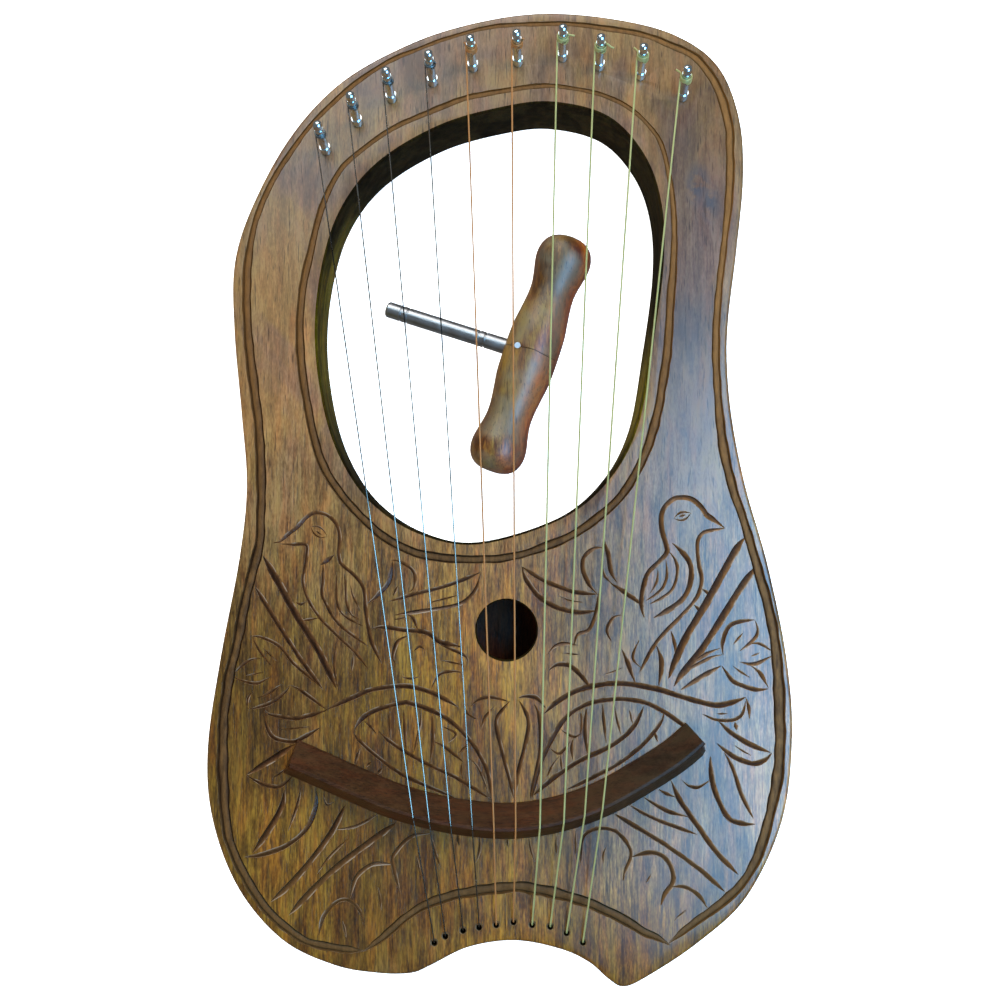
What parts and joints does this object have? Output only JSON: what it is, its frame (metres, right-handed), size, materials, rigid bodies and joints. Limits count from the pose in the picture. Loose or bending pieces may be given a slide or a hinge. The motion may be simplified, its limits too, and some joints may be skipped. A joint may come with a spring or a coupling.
{
  "type": "lyre",
  "caption": "Carved wooden lyre with an arm opening, sound hole, curved bridge, metal strings and turning tuning pins, with its wooden-handled tuning key.",
  "frame": {"origin": "middle of the outline's box, on the flat back", "axes": "the lyre lies on its flat back; +Z out of the carved front, +Y towards the tuning pins, +X to the right seen from the front"},
  "size_m": [0.3195, 0.5372, 0.0633],
  "materials": {
    "body_wood": "oiled, satin, carved",
    "back_wood": "oiled, satin",
    "brace_wood": "unfinished",
    "bridge_wood": "dark, polished",
    "steel_string": "wound steel",
    "copper_string": "copper-wound",
    "brass_string": "drawn brass",
    "nickel": "bright nickel plate",
    "key_wood": "turned and polished",
    "key_steel": "turned, polished"
  },
  "bodies": {
    "lyre": {"body": "body_wood", "back_plate": "back_wood", "upper_brace": "brace_wood", "lower_brace": "brace_wood", "bridge": "bridge_wood", "string_01": "steel_string", "string_02": "steel_string", "string_03": "steel_string", "string_04": "steel_string", "string_05": "copper_string", "string_06": "copper_string", "string_07": "brass_string", "string_08": "brass_string", "string_09": "brass_string", "string_10": "brass_string", "string_ball_ends": "brass_string"},
    "pin_01": {"tuning_pin_01": "nickel", "winding_01": "steel_string"},
    "pin_02": {"tuning_pin_02": "nickel", "winding_02": "steel_string"},
    "pin_03": {"tuning_pin_03": "nickel", "winding_03": "steel_string"},
    "pin_04": {"tuning_pin_04": "nickel", "winding_04": "steel_string"},
    "pin_05": {"tuning_pin_05": "nickel", "winding_05": "copper_string"},
    "pin_06": {"tuning_pin_06": "nickel", "winding_06": "copper_string"},
    "pin_07": {"tuning_pin_07": "nickel", "winding_07": "brass_string"},
    "pin_08": {"tuning_pin_08": "nickel", "winding_08": "brass_string"},
    "pin_09": {"tuning_pin_09": "nickel", "winding_09": "brass_string"},
    "pin_10": {"tuning_pin_10": "nickel", "winding_10": "brass_string"},
    "tuning_key": {"key_handle": "key_wood", "key_shaft": "key_steel", "key_nail": "nickel"}
  },
  "joints": [
    {"name": "turn_pin_01", "type": "hinge", "parent": "lyre", "child": "pin_01", "pos_m": [-0.097, 0.1895, 0.038], "axis": [-0.0424, 0.2332, 0.9715], "continuous": true},
    {"name": "turn_pin_02", "type": "hinge", "parent": "lyre", "child": "pin_02", "pos_m": [-0.0795, 0.2055, 0.038], "axis": [-0.0424, 0.2332, 0.9715], "continuous": true},
    {"name": "turn_pin_03", "type": "hinge", "parent": "lyre", "child": "pin_03", "pos_m": [-0.0605, 0.219, 0.038], "axis": [-0.0424, 0.2332, 0.9715], "continuous": true},
    {"name": "turn_pin_04", "type": "hinge", "parent": "lyre", "child": "pin_04", "pos_m": [-0.0375, 0.2283, 0.038], "axis": [-0.0424, 0.2332, 0.9715], "continuous": true},
    {"name": "turn_pin_05", "type": "hinge", "parent": "lyre", "child": "pin_05", "pos_m": [-0.015, 0.2368, 0.038], "axis": [-0.0424, 0.2332, 0.9715], "continuous": true},
    {"name": "turn_pin_06", "type": "hinge", "parent": "lyre", "child": "pin_06", "pos_m": [0.01, 0.2397, 0.038], "axis": [-0.0424, 0.2332, 0.9715], "continuous": true},
    {"name": "turn_pin_07", "type": "hinge", "parent": "lyre", "child": "pin_07", "pos_m": [0.035, 0.2425, 0.038], "axis": [-0.0424, 0.2332, 0.9715], "continuous": true},
    {"name": "turn_pin_08", "type": "hinge", "parent": "lyre", "child": "pin_08", "pos_m": [0.0555, 0.2373, 0.038], "axis": [-0.0424, 0.2332, 0.9715], "continuous": true},
    {"name": "turn_pin_09", "type": "hinge", "parent": "lyre", "child": "pin_09", "pos_m": [0.0785, 0.232, 0.038], "axis": [-0.0424, 0.2332, 0.9715], "continuous": true},
    {"name": "turn_pin_10", "type": "hinge", "parent": "lyre", "child": "pin_10", "pos_m": [0.102, 0.22, 0.038], "axis": [-0.0424, 0.2332, 0.9715], "continuous": true},
    {"name": "key_slide", "type": "slide", "parent": "lyre", "child": "tuning_key", "axis": [1, 0, 0], "range_m": [-0.028, 0.034]}
  ]
}
